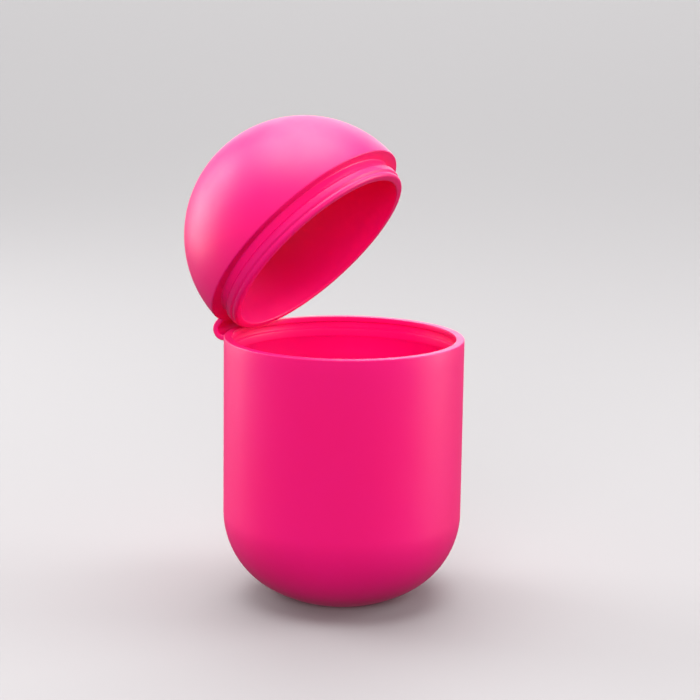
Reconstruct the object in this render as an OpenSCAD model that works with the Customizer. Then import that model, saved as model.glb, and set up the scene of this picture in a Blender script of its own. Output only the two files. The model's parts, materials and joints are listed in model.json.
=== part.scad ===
// Upright capsule case with a domed flip-top lid, moulded in soft silicone.
// Frame: origin at the centre of the flat foot, +Z up the case, hinge on the -X side.
// The lid is drawn part open; closing it turns it by rest_open about the hinge axis.
// Millimetres and degrees.

/* [Case] */
// Outside diameter of the case and of its lid
case_d = 60; // [54:1:66]
// Height from the foot to the rim
rim_z = 66; // [58:0.5:78]
// Wall thickness below the mouth
wall_t = 1.8; // [1.3:0.1:1.8]
// Thickness of the floor
floor_t = 2.2; // [1.8:0.1:3]
// Radius of the flat foot that the case stands on
foot_r = 13.5; // [9:0.5:15]
// Radius of the round shoulder between the wall and the base
shoulder_r = 21.5; // [17:0.5:23]
// Radius of the shallow crown across the base
crown_r = 38.4; // [36:0.2:44]

/* [Mouth] */
// Wall thickness at the lip of the mouth
lip_t = 2.1; // [1.9:0.1:2.3]
// Height of the lip band above the seal groove
lip_h = 1.3; // [1:0.1:1.5]
// Height of the seal groove
groove_h = 1.5; // [1.2:0.1:1.8]
// Depth of the seal groove into the wall
groove_t = 0.7; // [0.5:0.1:0.9]
// Depth below the rim where the thick mouth band ends
band_h = 5.1; // [4.6:0.1:6]
// Rounding of the rim edges
edge_r = 0.3; // [0.2:0.05:0.5]

/* [Lid] */
// Gap between the closed lid's flange and the rim
lid_gap = 0.25; // [0.2:0.05:0.3]
// Thickness of the dome at its top
dome_t = 2; // [1.6:0.1:2.4]
// Straight skirt between the flange face and the start of the dome
skirt_h = 0.55; // [0.3:0.05:1]
// How far the plug ring reaches below the flange face
plug_h = 5.6; // [5.2:0.1:6]
// Thickness of the plug ring at its nose
plug_t = 2.1; // [1.8:0.1:2.4]
// Radial clearance between the plug's bead and the mouth
plug_clearance = 0.4; // [0.3:0.05:0.5]
// How far the bead stands out from the neck above it
bead_t = 0.5; // [0.4:0.1:0.8]

/* [Hinge] */
// Distance of the hinge axis outside the case wall
hinge_out = 1.5; // [1.4:0.1:2]
// Distance of the hinge axis below the rim
hinge_drop = 0.45; // [0.3:0.05:0.5]
// Width of the strap
strap_w = 16; // [10:1:18]
// Thickness of the strap
strap_t = 1.5; // [1.2:0.1:1.6]
// Radius of the strap's loop about the hinge axis
loop_r = 2.05; // [2:0.05:2.4]
// How far each root stands out from its wall
root_out = 0.7; // [0.6:0.1:0.9]
// Opening angle of the lid as drawn, from closed
rest_open = 49.5; // [30:0.5:70]

/* [Hidden] */
$fn = 96;
fine = 480;                      // for the walls that the small roots are cut to

case_r = case_d / 2;
mouth_r = case_r - lip_t;
wall_r = case_r - wall_t;
groove_r = mouth_r + groove_t;
lead = 0.4;                      // height of each slanted step inside the mouth

// The base: a crown arc centred on the axis meets the shoulder arc tangentially.
shoulder_x = case_r - shoulder_r;
crown_rise = sqrt(pow(crown_r - shoulder_r, 2) - pow(shoulder_x, 2));
shoulder_z = sqrt(pow(crown_r, 2) - pow(foot_r, 2)) - crown_rise;
crown_z = shoulder_z + crown_rise;
tangent_a = -atan2(crown_rise, shoulder_x);
inner_crown_r = crown_r - wall_t;
inner_floor_r = sqrt(pow(inner_crown_r, 2) - pow(crown_z - floor_t, 2));

// The lid, drawn closed with its flange face at z = 0 before it is placed.
bead_r = mouth_r - plug_clearance;
neck_r = bead_r - bead_t;
bead_top = -2.4;
bead_bottom = -3.9;
nose_r = bead_r - 0.3;           // the nose is drawn in, so that it finds the mouth
nose_round = 0.8;
waist_r = nose_r - 0.2;          // a shallow line between the bead and the nose
bore_r = nose_r - plug_t;        // opening of the plug ring at its nose
bore_top_r = bore_r + 0.9;       // the same opening where the ring meets the dome

// The hollow of the dome is part of an ellipse that carries the plug ring's bore on smoothly.
bore_slope = (bore_top_r - bore_r) / (plug_h - edge_r);
hollow_top = case_r + skirt_h - dome_t;
hollow_u = bore_slope * hollow_top / (bore_top_r + bore_slope * hollow_top);
hollow_h = hollow_top / (1 + hollow_u);
hollow_z = hollow_u * hollow_h;
hollow_r = bore_top_r / sqrt(1 - pow(hollow_u, 2));

// The hinge.
axis_x = -(case_r + hinge_out);
axis_z = rim_z - hinge_drop;
root_flare = 0.3;                // each root is this much thicker at its wall, on both sides

// Points along an arc about [cx, cy] from angle a0 to a1, in n steps.
function arc(cx, cy, r, a0, a1, n) =
    [for (i = [0:n]) let (a = a0 + (a1 - a0) * i / n) [cx + r * cos(a), cy + r * sin(a)]];

// A point turned about the origin by angle a.
function turned(v, a) = [v[0] * cos(a) - v[1] * sin(a), v[0] * sin(a) + v[1] * cos(a)];

// Puts a shape drawn closed, with the flange face at z = 0, in its place on the open lid.
module on_lid() {
    translate([axis_x, 0, axis_z])
        rotate([0, -rest_open, 0])
            translate([-axis_x, 0, hinge_drop + lid_gap])
                children();
}

// A flared stub that stands out from a wall on the hinge side; z is its middle height.
module root_stub(z) {
    depth = case_r + root_out;
    half = strap_t / 2;
    wide = half + root_flare;
    inside = case_r - 2;
    translate([0, strap_w / 2, z])
        rotate([90, 0, 0])
            linear_extrude(strap_w)
                polygon([
                    [-inside, wide], [-case_r + 0.3, wide],
                    [-depth, half], [-depth, -half],
                    [-case_r + 0.3, -wide], [-inside, -wide]
                ]);
}

// Round-bottomed cup with a flat foot, a thick mouth band and a groove for the lid's bead.
module case_body() {
    color("deeppink")
        rotate_extrude()
            polygon(concat(
                [[0, 0]],
                arc(0, crown_z, crown_r, -acos(foot_r / crown_r), tangent_a, 8),
                arc(shoulder_x, shoulder_z, shoulder_r, tangent_a, 0, 24),
                arc(case_r - edge_r, rim_z - edge_r, edge_r, 0, 90, 6),
                arc(mouth_r + edge_r, rim_z - edge_r, edge_r, 90, 180, 6),
                [
                    [mouth_r, rim_z - lip_h],
                    [groove_r, rim_z - lip_h - lead / 2],
                    [groove_r, rim_z - lip_h - groove_h],
                    [mouth_r, rim_z - lip_h - groove_h - lead],
                    [mouth_r, rim_z - band_h],
                    [wall_r, rim_z - band_h - lead]
                ],
                arc(shoulder_x, shoulder_z, shoulder_r - wall_t, 0, tangent_a, 24),
                arc(0, crown_z, inner_crown_r, tangent_a, -acos(inner_floor_r / inner_crown_r), 8),
                [[0, floor_t]]
            ));
}

// Stub below the rim that the strap grows out of.
module case_hinge_root() {
    color("hotpink")
        difference() {
            root_stub(axis_z - loop_r);
            cylinder(r = case_r, h = rim_z, $fn = fine);
        }
}

// Thin strap: a straight arm from each root, joined by a loop about the hinge axis.
module hinge_strap() {
    reach = hinge_out - root_out;
    outer_r = loop_r + strap_t / 2;
    inner_r = loop_r - strap_t / 2;
    lid_a = 90 + rest_open;
    color("hotpink")
        translate([axis_x, strap_w / 2, axis_z])
            rotate([90, 0, 0])
                linear_extrude(strap_w)
                    polygon(concat(
                        [[reach, -outer_r]],
                        arc(0, 0, outer_r, 270, lid_a, 24),
                        [turned([reach, outer_r], rest_open), turned([reach, inner_r], rest_open)],
                        arc(0, 0, inner_r, lid_a, 270, 24),
                        [[reach, -inner_r]]
                    ));
}

// Dome shell with a flat flange face that comes down onto the rim.
module lid_dome() {
    color("deeppink")
        on_lid()
            rotate_extrude()
                polygon(concat(
                    arc(case_r - edge_r, edge_r, edge_r, -90, 0, 6),
                    arc(0, skirt_h, case_r, 0, 90, 36),
                    [for (p = arc(0, 0, 1, 90, -asin(hollow_u), 36))
                        [hollow_r * p[0], hollow_z + hollow_h * p[1]]]
                ));
}

// Plug ring under the flange: a drawn-in neck, a bead, a shallow waist and a rounded nose.
module lid_plug_ring() {
    color("deeppink")
        on_lid()
            rotate_extrude()
                polygon(concat(
                    [[bore_top_r, 0], [bore_r, edge_r - plug_h]],
                    arc(bore_r + edge_r, edge_r - plug_h, edge_r, 180, 270, 6),
                    arc(nose_r - nose_round, nose_round - plug_h, nose_round, -90, 0, 8),
                    [
                        [waist_r, bead_bottom - lead],
                        [bead_r, bead_bottom],
                        [bead_r, bead_top],
                        [neck_r, bead_top + lead],
                        [neck_r, 0]
                    ]
                ));
}

// Stub on the lid's edge that the strap grows out of.
module lid_hinge_root() {
    color("hotpink")
        on_lid()
            difference() {
                root_stub(loop_r - hinge_drop - lid_gap);
                translate([0, 0, skirt_h])
                    sphere(r = case_r, $fn = fine);
                translate([0, 0, -case_r])
                    cylinder(r = case_r, h = case_r + skirt_h, $fn = fine);
            }
}

case_body();
case_hinge_root();
hinge_strap();
lid_dome();
lid_plug_ring();
lid_hinge_root();
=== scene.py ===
# %% [markdown]
# # A flip-top silicone case
#
# The object is a small upright case moulded in soft silicone: a round-bottomed cup, a domed lid with
# a plug ring under its flange, and a thin strap that lets the lid swing open. Everything on it is
# round or nearly round, so most pieces are drawn as half an outline and turned about an axis, the
# way a wooden bowl is turned on a lathe.

# %% Load the frame
import json
import math

import bmesh
import bpy
from mathutils import Matrix, Vector


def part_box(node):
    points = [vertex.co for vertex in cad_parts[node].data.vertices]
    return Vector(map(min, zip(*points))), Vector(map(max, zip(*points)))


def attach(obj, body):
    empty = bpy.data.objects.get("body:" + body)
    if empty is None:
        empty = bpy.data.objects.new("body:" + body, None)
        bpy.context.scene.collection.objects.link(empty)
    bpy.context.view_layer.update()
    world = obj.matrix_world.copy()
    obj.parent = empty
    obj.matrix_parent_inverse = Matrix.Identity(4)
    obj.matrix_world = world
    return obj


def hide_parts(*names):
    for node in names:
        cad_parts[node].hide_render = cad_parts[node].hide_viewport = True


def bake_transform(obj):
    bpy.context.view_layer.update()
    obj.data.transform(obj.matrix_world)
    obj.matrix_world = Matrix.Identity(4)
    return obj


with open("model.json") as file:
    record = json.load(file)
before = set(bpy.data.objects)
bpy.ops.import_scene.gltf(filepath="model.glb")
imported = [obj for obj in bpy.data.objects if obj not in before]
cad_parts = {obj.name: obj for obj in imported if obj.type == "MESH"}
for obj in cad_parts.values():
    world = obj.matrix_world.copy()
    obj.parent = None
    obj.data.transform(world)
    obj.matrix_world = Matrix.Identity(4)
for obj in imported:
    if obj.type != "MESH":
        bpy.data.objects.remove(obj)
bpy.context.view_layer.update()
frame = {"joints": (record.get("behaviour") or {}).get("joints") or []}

# %% [markdown]
# ## Sizes
#
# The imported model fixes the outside: the radius of the cup, the height of its rim, and the hinge.
# The smaller sizes, such as the wall and the groove, are named here once. Blender works in metres,
# so a helper turns millimetres into metres and keeps the numbers readable.

# %% Sizes
def mm(length):
    return length / 1000


case_low, case_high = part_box("case_body")
case_r = case_high.x
rim_z = case_high.z

hinge = frame["joints"][0]
hinge_axis = Vector(hinge["pos_m"])
rest_open = -math.radians(hinge["range_deg"][0])

wall_t = mm(1.8)
floor_t = mm(2.2)
lip_t = mm(2.1)
lip_h = mm(1.3)
groove_h = mm(1.5)
groove_t = mm(0.7)
band_h = mm(5.1)
lead = mm(0.4)
edge_r = mm(0.3)

mouth_r = case_r - lip_t
wall_r = case_r - wall_t
groove_r = mouth_r + groove_t
print("case radius", round(case_r, 5), "rim height", round(rim_z, 5))

# %% [markdown]
# ## Camera
#
# A real lens has a distance as well as an angle of view. A short distance makes near edges look
# bigger, so both are set: about half a metre away through a short telephoto lens. The camera is
# aimed at the centre of the rim, tilted down a little, and the frame is then shifted instead of
# turning the camera, which keeps the upright walls upright.

# %% Camera
view_azimuth = math.radians(30.74)
view_elevation = math.radians(10.85)
view_roll = math.radians(0.775)
view_distance = 0.4997

rim_centre = Vector((0, 0, rim_z))
towards_camera = Vector((
    math.sin(view_azimuth) * math.cos(view_elevation),
    -math.cos(view_azimuth) * math.cos(view_elevation),
    math.sin(view_elevation),
))

camera_data = bpy.data.cameras.new("camera")
camera_data.lens = 103
camera_data.sensor_width = 36
camera_data.shift_x = 0.0083
camera_data.shift_y = -0.0193
camera = bpy.data.objects.new("camera", camera_data)
bpy.context.scene.collection.objects.link(camera)
camera.location = rim_centre + view_distance * towards_camera
facing = towards_camera.to_track_quat("Z", "Y").to_matrix()
camera.rotation_euler = (facing @ Matrix.Rotation(view_roll, 3, "Z")).to_euler()
bpy.context.scene.camera = camera
print("camera at", [round(x, 3) for x in camera.location])

# %% [markdown]
# ## Floor
#
# The stage is a plain pale floor, large enough to reach past every view. Its grid is one flat face.
# The case doesn't see it: light that would bounce off the floor is left out, as a dark table would
# leave it out, which keeps the rounded base deep in colour. The floor still takes the shadow.

# %% Floor
floor_size = 40

floor_mesh = bpy.data.meshes.new("floor")
floor_bm = bmesh.new()
bmesh.ops.create_grid(floor_bm, x_segments=1, y_segments=1, size=floor_size)
floor_bm.to_mesh(floor_mesh)
floor_bm.free()
floor = bpy.data.objects.new("floor", floor_mesh)
bpy.context.scene.collection.objects.link(floor)
floor.visible_diffuse = False
floor.visible_glossy = False

floor_paint = bpy.data.materials.new("floor_paint")
floor_paint.use_nodes = True
floor_shader = floor_paint.node_tree.nodes["Principled BSDF"]
floor_shader.inputs["Base Color"].default_value = (0.31, 0.30, 0.305, 1)
floor_shader.inputs["Roughness"].default_value = 0.8
floor_mesh.materials.append(floor_paint)
print("floor", [round(side, 1) for side in floor.dimensions])

# %% [markdown]
# ## Sky
#
# A world colour fills the shadows from all round. A plain one would light the base of the case as
# much as its sides, so its strength falls below the horizon. The height of a direction in the sky
# is the Z of its Generated coordinate, and a Map Range node turns that height into a strength.

# %% Sky
sky_strength = 0.25
low_sky_share = 0.4
darkest_height = -0.8

sky = bpy.data.worlds.new("sky")
sky.use_nodes = True
sky_nodes, sky_links = sky.node_tree.nodes, sky.node_tree.links
backdrop = sky_nodes["Background"]
backdrop.inputs["Color"].default_value = (1.0, 0.97, 0.99, 1)
sky_direction = sky_nodes.new("ShaderNodeTexCoord")
sky_height = sky_nodes.new("ShaderNodeSeparateXYZ")
sky_fade = sky_nodes.new("ShaderNodeMapRange")
sky_fade.inputs["From Min"].default_value = darkest_height
sky_fade.inputs["From Max"].default_value = 0.0
sky_fade.inputs["To Min"].default_value = sky_strength * low_sky_share
sky_fade.inputs["To Max"].default_value = sky_strength
sky_links.new(sky_direction.outputs["Generated"], sky_height.inputs["Vector"])
sky_links.new(sky_height.outputs["Z"], sky_fade.inputs["Value"])
sky_links.new(sky_fade.outputs["Result"], backdrop.inputs["Strength"])
bpy.context.scene.world = sky
bpy.context.scene.view_settings.view_transform = "Standard"
print("sky strength", sky_strength, "falling to", sky_strength * low_sky_share)

# %% [markdown]
# ## Lamps
#
# Two suns with very wide discs, one overhead and one low behind, lay a pale haze on whatever faces
# up or away: the top of the dome, the rim and the outer edges. A panel stands on each side, set back
# a little, because that is what shows that a plain wall is round: pale at both edges and deep in the
# middle. A front panel fills in the rest. It gives no reflection, so the middle keeps its colour.
# Each lamp's place is given as the viewer sees it, by right, forward and up from a point in the
# case, so that it is easy to picture where each one stands.

# %% Lamps
overhead_power = 4.2
left_power = 3.7
right_power = 3.7
back_power = 1.2
front_power = 5.4

lit_point = Vector((0, 0, mm(60)))
right = Vector((math.cos(view_azimuth), math.sin(view_azimuth), 0))
forward = Vector((-towards_camera.x, -towards_camera.y, 0)).normalized()
up = Vector((0, 0, 1))


def hang(name, data, power, direction, distance):
    """Hangs a lamp in a direction given as right, forward and up, facing the case; returns it."""
    data.energy = power
    lamp = bpy.data.objects.new(name, data)
    bpy.context.scene.collection.objects.link(lamp)
    aim = (direction[0] * right + direction[1] * forward + direction[2] * up).normalized()
    lamp.location = lit_point + distance * aim
    lamp.rotation_euler = aim.to_track_quat("Z", "Y").to_euler()
    return lamp


def wide_sun(name, width):
    """A sun whose disc is this many degrees wide."""
    data = bpy.data.lights.new(name, "SUN")
    data.angle = math.radians(width)
    return data


def panel(name, width, height):
    """A flat lamp of this width and height, in metres."""
    data = bpy.data.lights.new(name, "AREA")
    data.shape = "RECTANGLE"
    data.size = width
    data.size_y = height
    return data


hang("overhead", wide_sun("overhead", 60), overhead_power, (-0.05, 0.22, 1.0), 1.0)
hang("left", panel("left", 0.35, 0.6), left_power, (-1.0, 0.5, 0.35), 0.65)
hang("right", panel("right", 0.35, 0.6), right_power, (1.0, 0.1, 0.25), 0.65)
front = hang("front", panel("front", 0.5, 0.4), front_power, (-0.15, -1.0, 0.40), 0.9)
front.visible_glossy = False
hang("back", wide_sun("back", 50), back_power, (0.1, 1.0, 0.30), 1.0)

# %% [markdown]
# ## Silicone
#
# Moulded silicone is a saturated, slightly see-through rubber with a soft skin. Three things carry
# the look: a little light travels under the surface (subsurface), the skin is satin and not glossy,
# and its fine moulded grain breaks up reflections. Sheen would seem the natural choice for the haze
# on it, but it also pales the middle of the wall, so a broad soft reflection does the work here.
# The grain, the change in gloss and the slight change in tint come from noise textures, so they
# work at any distance and need no picture. Noise reads Object coordinates, which are in metres
# here, so a scale of 1000 is about one bump to a millimetre.

# %% Silicone
pink = (0.99, 0.002, 0.18)
pale_share = (1.0, 1.5, 1.10)
gloss_range = (0.42, 0.50)
grain_depth = mm(0.02)


def silicone(name, colour):
    """A satin rubber skin: faint patches of tint and gloss, and a fine moulded grain."""
    material = bpy.data.materials.new(name)
    material.use_nodes = True
    nodes, links = material.node_tree.nodes, material.node_tree.links
    shader = nodes["Principled BSDF"]
    shader.inputs["Subsurface Weight"].default_value = 0.10
    shader.inputs["Subsurface Radius"].default_value = (1.0, 0.15, 0.35)
    shader.inputs["Subsurface Scale"].default_value = mm(0.6)
    shader.inputs["Specular IOR Level"].default_value = 0.55

    place = nodes.new("ShaderNodeTexCoord")

    def noise(scale, detail):
        """Noise with about this many bumps to a metre, as a value from 0 to 1."""
        made = nodes.new("ShaderNodeTexNoise")
        made.inputs["Scale"].default_value = scale
        made.inputs["Detail"].default_value = detail
        links.new(place.outputs["Object"], made.inputs["Vector"])
        return made.outputs["Fac"]

    def spread(source, low, high):
        """Stretches the middle of the noise, where most of it lies, to run from low to high."""
        made = nodes.new("ShaderNodeMapRange")
        made.inputs["From Min"].default_value = 0.3
        made.inputs["From Max"].default_value = 0.7
        made.inputs["To Min"].default_value = low
        made.inputs["To Max"].default_value = high
        links.new(source, made.inputs["Value"])
        return made.outputs["Result"]

    tint = nodes.new("ShaderNodeMix")
    tint.data_type = "RGBA"
    tint.inputs["A"].default_value = (*colour, 1)
    tint.inputs["B"].default_value = (*[part * share for part, share in zip(colour, pale_share)], 1)
    links.new(spread(noise(35, 3), 0, 1), tint.inputs["Factor"])
    links.new(tint.outputs["Result"], shader.inputs["Base Color"])

    links.new(spread(noise(160, 4), *gloss_range), shader.inputs["Roughness"])

    bump = nodes.new("ShaderNodeBump")
    bump.inputs["Strength"].default_value = 0.25
    bump.inputs["Distance"].default_value = grain_depth
    links.new(noise(4200, 2), bump.inputs["Height"])
    links.new(bump.outputs["Normal"], shader.inputs["Normal"])
    return material


soft_skin = silicone("silicone_outer_skin", pink)
print("made", soft_skin.name, "with", len(soft_skin.node_tree.nodes), "nodes")

# %% [markdown]
# ## Drawing an outline
#
# A turned shape starts as its outline: a chain of points in the XZ plane. Straight runs are made by
# extruding the last point, and round stretches by spinning it about their centre, so every arc is a
# true arc. Small corners are bevelled afterwards. Turning the whole chain about Z gives the shape.

# %% Outline tools
def line_to(bm, tip, r, z):
    """Extrudes the outline from its last point to radius r and height z."""
    made = bmesh.ops.extrude_vert_indiv(bm, verts=[tip])["verts"][0]
    bmesh.ops.translate(bm, verts=[made], vec=Vector((r, 0, z)) - made.co)
    return made


def arc_about(bm, tip, r, z, degrees, steps):
    """Swings the last point about (r, z); a positive angle turns from +X towards +Z."""
    made = bmesh.ops.spin(
        bm, geom=[tip], cent=(r, 0, z), axis=(0, -1, 0), angle=math.radians(degrees), steps=steps
    )
    return made["geom_last"][0]


def soften(bm, corners, radius, steps=4):
    """Rounds corners of the outline that are too small to draw as arcs."""
    bmesh.ops.bevel(
        bm, geom=corners, offset=radius, segments=steps, profile=0.5, affect="VERTICES", material=-1
    )


def turn(bm, steps=240):
    """Spins the outline about Z into a closed skin whose faces point outwards."""
    bmesh.ops.spin(
        bm, geom=bm.verts[:] + bm.edges[:], cent=(0, 0, 0), axis=(0, 0, 1),
        angle=2 * math.pi, steps=steps, use_merge=True,
    )
    bmesh.ops.remove_doubles(bm, verts=bm.verts, dist=mm(0.001))
    bmesh.ops.recalc_face_normals(bm, faces=bm.faces)


def piece(name, bm, material):
    """Stores the finished mesh as an object at the origin, shaded smooth up to real corners."""
    mesh = bpy.data.meshes.new(name)
    bm.to_mesh(mesh)
    open_edges = sum(not e.is_manifold for e in bm.edges)
    bm.free()
    mesh.polygons.foreach_set("use_smooth", [True] * len(mesh.polygons))
    mesh.set_sharp_from_angle(angle=math.radians(40))
    mesh.materials.append(material)
    made = bpy.data.objects.new(name, mesh)
    bpy.context.scene.collection.objects.link(made)
    print(name, len(mesh.polygons), "faces,", open_edges, "open edges")
    return made


# %% [markdown]
# ## The cup
#
# The base of the cup is two arcs: a shallow crown across the bottom that flows into a tighter
# shoulder, which flows into the straight wall. They share a tangent where they meet, so no edge
# shows. The tangent point lies on the line through both centres, and a little trigonometry finds it.
# A subdivided cylinder could be pulled into this shape, but its arcs would only be nearly round.

# %% Sizes of the cup
foot_r = mm(13.5)
shoulder_r = mm(21.5)
crown_r = mm(38.4)

shoulder_x = case_r - shoulder_r
crown_rise = math.sqrt((crown_r - shoulder_r) ** 2 - shoulder_x ** 2)
shoulder_z = math.sqrt(crown_r ** 2 - foot_r ** 2) - crown_rise
crown_z = shoulder_z + crown_rise
tangent = math.degrees(math.atan2(crown_rise, shoulder_x))
foot_angle = math.degrees(math.acos(foot_r / crown_r))
inner_crown_r = crown_r - wall_t
inner_floor_r = math.sqrt(inner_crown_r ** 2 - (crown_z - floor_t) ** 2)
inner_floor_angle = math.degrees(math.acos(inner_floor_r / inner_crown_r))
print("shoulder", round(shoulder_z, 5), "above the foot, inner floor", round(inner_floor_r, 5), "in radius")

# %% [markdown]
# ## Up the outside and down the inside
#
# The outline starts on the axis under the foot, climbs the outside to the rim, and comes down the
# inside to the floor. Just under the rim is a lip, then the groove that holds the lid's bead, then
# the end of the thick band at the mouth. The straight walls are cut into steps of even height, so
# that the turned faces stay nearly square instead of long and thin.

# %% The cup
groove_round = mm(0.14)
wall_steps = 12
inner_steps = 10

bm = bmesh.new()
tip = bm.verts.new((0, 0, 0))
tip = line_to(bm, tip, foot_r * 0.5, 0)
tip = line_to(bm, tip, foot_r, 0)
tip = arc_about(bm, tip, 0, crown_z, foot_angle - tangent, 14)
tip = arc_about(bm, tip, shoulder_x, shoulder_z, tangent, 40)
for step in range(1, wall_steps + 1):
    height = shoulder_z + (rim_z - edge_r - shoulder_z) * step / wall_steps
    tip = line_to(bm, tip, case_r, height)
tip = arc_about(bm, tip, case_r - edge_r, rim_z - edge_r, 90, 8)
tip = line_to(bm, tip, mouth_r + edge_r, rim_z)
tip = arc_about(bm, tip, mouth_r + edge_r, rim_z - edge_r, 90, 8)
groove_top = line_to(bm, tip, mouth_r, rim_z - lip_h)
groove_in = line_to(bm, groove_top, groove_r, rim_z - lip_h - lead / 2)
groove_foot = line_to(bm, groove_in, groove_r, rim_z - lip_h - groove_h)
band_top = line_to(bm, groove_foot, mouth_r, rim_z - lip_h - groove_h - lead)
band_foot = line_to(bm, band_top, mouth_r, rim_z - band_h)
tip = line_to(bm, band_foot, wall_r, rim_z - band_h - lead)
inner_top = rim_z - band_h - lead
for step in range(1, inner_steps + 1):
    tip = line_to(bm, tip, wall_r, inner_top + (shoulder_z - inner_top) * step / inner_steps)
tip = arc_about(bm, tip, shoulder_x, shoulder_z, -tangent, 36)
tip = arc_about(bm, tip, 0, crown_z, tangent - inner_floor_angle, 12)
tip = line_to(bm, tip, inner_floor_r * 0.5, floor_t)
tip = line_to(bm, tip, 0, floor_t)
soften(bm, [groove_top, groove_in, groove_foot, band_top, band_foot], groove_round, 3)
turn(bm)

cup = piece("case_body_skin", bm, soft_skin)
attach(cup, "case")
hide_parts("case_body")

# %% [markdown]
# ## The lid
#
# The dome and the plug ring are drawn closed, with the flange face at height zero, because that is
# how they are easiest to think about. Each is then moved onto the rim and turned open about the
# hinge axis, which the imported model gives. The object itself is never turned: the move is made in
# its mesh, so that the pattern of the silicone stays with the piece.

# %% Placing a piece on the open lid
lid_gap = mm(0.25)


def open_lid(bm):
    """Lifts a piece drawn at height zero onto the rim and turns it open about the hinge."""
    bmesh.ops.translate(bm, verts=bm.verts, vec=(0, 0, rim_z + lid_gap))
    swing = Matrix.Rotation(rest_open, 3, "Y").inverted()
    bmesh.ops.rotate(bm, verts=bm.verts, cent=hinge_axis, matrix=swing)


print("closed, the flange stands", lid_gap, "above the rim")

# %% [markdown]
# ## Sizes of the lid
#
# The plug ring is measured inwards from the mouth that it goes into. The hollow of the dome isn't a
# half ball: it is part of an ellipse, whose slope is chosen so that it carries on the bore of the
# plug ring without a step. Its centre is a little above the flange, and hollow_angle is how far
# below that centre's level the arc runs on before it meets the bore.

# %% Sizes of the lid
plug_clearance = mm(0.4)
bead_t = mm(0.5)
nose_set = mm(0.3)
waist_set = mm(0.2)
bore_flare = mm(0.9)

dome_t = mm(2)
skirt_h = mm(0.55)
plug_h = mm(5.6)
plug_t = mm(2.1)
bead_r = mouth_r - plug_clearance
neck_r = bead_r - bead_t
nose_r = bead_r - nose_set
waist_r = nose_r - waist_set
bore_r = nose_r - plug_t
bore_top_r = bore_r + bore_flare

hollow_top = case_r + skirt_h - dome_t
bore_slope = (bore_top_r - bore_r) / (plug_h - edge_r)
hollow_sine = bore_slope * hollow_top / (bore_top_r + bore_slope * hollow_top)
hollow_h = hollow_top / (1 + hollow_sine)
hollow_z = hollow_sine * hollow_h
hollow_r = bore_top_r / math.sqrt(1 - hollow_sine ** 2)
hollow_angle = math.degrees(math.asin(hollow_sine))
print("hollow", round(hollow_r, 5), "across and", round(hollow_h, 5), "high, from", round(hollow_z, 5))

# %% [markdown]
# ## The dome
#
# The outline runs along the flange, round its edge, up the skirt and over the dome. The hollow is
# drawn as a round arc, which the spin can make, and then widened along X into its ellipse. Its last
# point is welded to the first, because an outline that is closed turns into a closed skin.

# %% The dome
bm = bmesh.new()
bore_corner = bm.verts.new((bore_top_r, 0, 0))
tip = line_to(bm, bore_corner, neck_r, 0)
tip = line_to(bm, tip, case_r - edge_r, 0)
tip = arc_about(bm, tip, case_r - edge_r, edge_r, 90, 8)
tip = line_to(bm, tip, case_r, skirt_h)
tip = arc_about(bm, tip, 0, skirt_h, 90, 64)
outer_points = set(bm.verts)
tip = line_to(bm, tip, 0, hollow_top)
tip = arc_about(bm, tip, 0, hollow_z, -90 - hollow_angle, 64)
hollow = [point for point in bm.verts if point not in outer_points]
bmesh.ops.scale(bm, verts=hollow, vec=(hollow_r / hollow_h, 1, 1))
bmesh.ops.weld_verts(bm, targetmap={tip: bore_corner})
turn(bm)
open_lid(bm)

dome = piece("lid_dome_skin", bm, soft_skin)
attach(dome, "lid")
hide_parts("lid_dome")

# %% [markdown]
# ## The plug ring
#
# This is the part of the lid that seals. A drawn-in neck under the flange leaves room for the lip of
# the cup, the bead below it fits the groove, and a rounded nose finds the mouth. The neck meets the
# flange in a small cove, as a mould would leave it, and the bead's corners are softened by a bevel.

# %% The plug ring
bead_top = -mm(2.4)
bead_bottom = -mm(3.9)
nose_round = mm(0.8)
flange_cove = mm(0.3)
bead_round = mm(0.2)
waist_round = mm(0.12)

bm = bmesh.new()
bore_corner = bm.verts.new((bore_top_r, 0, 0))
tip = line_to(bm, bore_corner, bore_r, edge_r - plug_h)
tip = arc_about(bm, tip, bore_r + edge_r, edge_r - plug_h, 90, 6)
tip = line_to(bm, tip, nose_r - nose_round, -plug_h)
tip = arc_about(bm, tip, nose_r - nose_round, nose_round - plug_h, 90, 12)
waist = line_to(bm, tip, waist_r, bead_bottom - lead)
bead_low = line_to(bm, waist, bead_r, bead_bottom)
bead_high = line_to(bm, bead_low, bead_r, bead_top)
neck_low = line_to(bm, bead_high, neck_r, bead_top + lead)
tip = line_to(bm, neck_low, neck_r, -flange_cove)
tip = arc_about(bm, tip, neck_r + flange_cove, -flange_cove, -90, 6)
bm.edges.new((tip, bore_corner))
soften(bm, [bead_low, bead_high], bead_round, 4)
soften(bm, [neck_low, waist], waist_round, 3)
turn(bm)
open_lid(bm)

ring = piece("lid_plug_ring_skin", bm, soft_skin)
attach(ring, "lid")
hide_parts("lid_plug_ring")

# %% [markdown]
# ## The strap
#
# The lid hangs on one moulded strap that loops outside the hinge axis. It could be swept along a
# curve, but it is its own mirror image across the plane that halves the opening angle, so only half
# of it is modelled: a rounded bar section leaves the cup's wall through a small cove, and is spun
# round half of the loop. The half is tilted until the plane of symmetry lies flat, mirrored, and
# tilted back. The strap is one mesh, so nothing can tear.

# %% Sizes of the strap
strap_w = mm(16)
strap_t = mm(1.5)
loop_r = mm(2.05)
root_out = mm(0.7)
root_sink = mm(0.8)
root_cove = mm(0.45)
strap_round = mm(0.4)

hinge_out = -hinge_axis.x - case_r
reach = hinge_out - root_out
half_loop = (math.pi - rest_open) / 2
print("loop radius", round(loop_r, 5), "turning through", round(math.degrees(2 * half_loop), 1))

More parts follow.
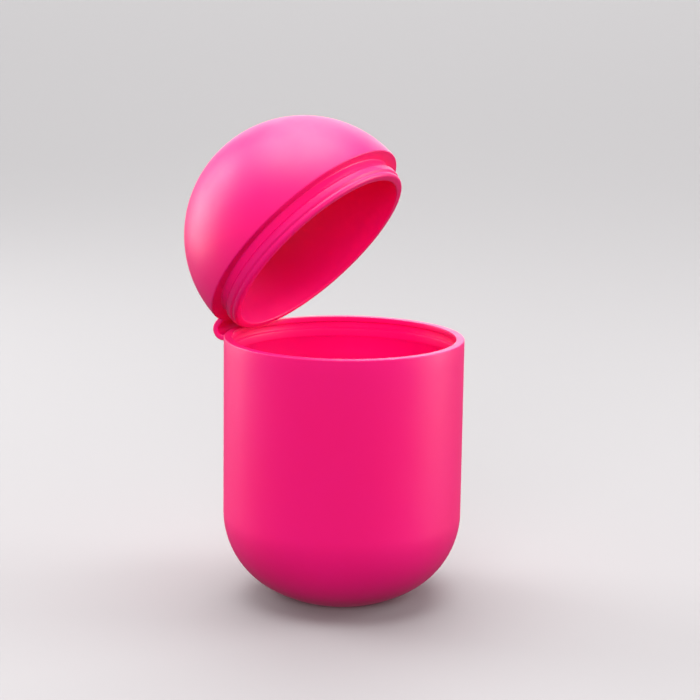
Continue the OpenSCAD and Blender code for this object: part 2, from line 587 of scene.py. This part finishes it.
# %% [markdown]
# ## The bar section
#
# The section is a flat grid scaled to the strap's width and thickness, with its four corners rounded.
# It has several cells across its width, because the next step bends it to the wall of the cup.

# %% The rounded bar section
section_cells = 16

bm = bmesh.new()
bmesh.ops.create_grid(bm, x_segments=section_cells, y_segments=1, size=0.5)
bmesh.ops.scale(bm, verts=bm.verts, vec=(strap_w, strap_t, 1))
corners = [point for point in bm.verts if len(point.link_edges) == 2]
soften(bm, corners, strap_round, 5)
bmesh.ops.rotate(bm, verts=bm.verts, matrix=Matrix.Rotation(math.pi / 2, 3, "Y"))
bmesh.ops.rotate(bm, verts=bm.verts, matrix=Matrix.Rotation(math.pi / 2, 3, "X"))
bmesh.ops.translate(bm, verts=bm.verts, vec=(hinge_out + root_sink, 0, 0))
section = bm.faces[:]
print("section", len(bm.verts), "points")

# %% [markdown]
# ## The root
#
# The strap grows out of the wall through a small cove. The section is pushed outwards in short steps
# and drawn in at each one, by the sine and cosine of a quarter turn, so the cove is a quarter round.
# The points near the wall are then moved by the sagitta, which is how far the round wall falls away
# from a flat one. Points further out move less, and the straight arm doesn't move at all.

# %% Pushing the section out
def push_section(bm, faces, outwards, grow):
    """Extrudes the section away from the wall and makes it larger all round by grow."""
    made = bmesh.ops.extrude_face_region(bm, geom=faces)
    verts = [part for part in made["geom"] if isinstance(part, bmesh.types.BMVert)]
    bmesh.ops.translate(bm, verts=verts, vec=(-outwards, 0, 0))
    half_w = max(vert.co.y for vert in verts)
    half_t = max(vert.co.z for vert in verts)
    wider = (strap_w / 2 + grow) / half_w
    thicker = (strap_t / 2 + grow) / half_t
    bmesh.ops.scale(bm, verts=verts, vec=(1, wider, thicker))
    return [part for part in made["geom"] if isinstance(part, bmesh.types.BMFace)]


# %% The root
cove_steps = 6
step_angle = math.radians(90 / cove_steps)

bmesh.ops.scale(
    bm, verts=bm.verts, vec=(1, 1 + 2 * root_cove / strap_w, 1 + 2 * root_cove / strap_t)
)
section = push_section(bm, section, root_sink, root_cove)
for step in range(1, cove_steps + 1):
    outwards = math.cos(step_angle * (step - 1)) - math.cos(step_angle * step)
    spare = 1 - math.sin(step_angle * step)
    section = push_section(bm, section, root_cove * outwards, root_cove * spare)
section = push_section(bm, section, root_out - root_cove, 0)

for vert in bm.verts:
    sagitta = case_r - math.sqrt(case_r ** 2 - vert.co.y ** 2)
    hold = min(1, (vert.co.x - reach) / root_out)
    vert.co.x += hold * sagitta
print("root", len(bm.faces), "faces")

# %% [markdown]
# ## The loop
#
# A straight arm carries the section to the hinge, and a spin about the hinge axis carries it round
# half of the loop. The cap it ends in would be a wall inside the strap, so it is deleted before the
# mirror joins the two halves along their open edge.

# %% The loop
section = push_section(bm, section, reach, 0)
bmesh.ops.translate(bm, verts=bm.verts, vec=(0, 0, -loop_r))
made = bmesh.ops.spin(
    bm, geom=section, cent=(0, 0, 0), axis=(0, 1, 0), angle=half_loop, steps=16
)
end_cap = [part for part in made["geom_last"] if isinstance(part, bmesh.types.BMFace)]
bmesh.ops.delete(bm, geom=end_cap, context="FACES_ONLY")

tilt = Matrix.Rotation(rest_open / 2, 3, "Y")
bmesh.ops.rotate(bm, verts=bm.verts, matrix=tilt)
bmesh.ops.mirror(bm, geom=bm.verts[:] + bm.edges[:] + bm.faces[:], axis="Z", merge_dist=mm(0.01))
bmesh.ops.rotate(bm, verts=bm.verts, matrix=tilt.inverted())
bmesh.ops.translate(bm, verts=bm.verts, vec=hinge_axis)
bmesh.ops.remove_doubles(bm, verts=bm.verts, dist=mm(0.001))
bmesh.ops.recalc_face_normals(bm, faces=bm.faces)

strap = piece("hinge_strap_skin", bm, soft_skin)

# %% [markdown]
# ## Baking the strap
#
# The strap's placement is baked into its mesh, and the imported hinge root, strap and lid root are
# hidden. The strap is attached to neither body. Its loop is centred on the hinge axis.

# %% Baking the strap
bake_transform(strap)
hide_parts("case_hinge_root", "hinge_strap", "lid_hinge_root")
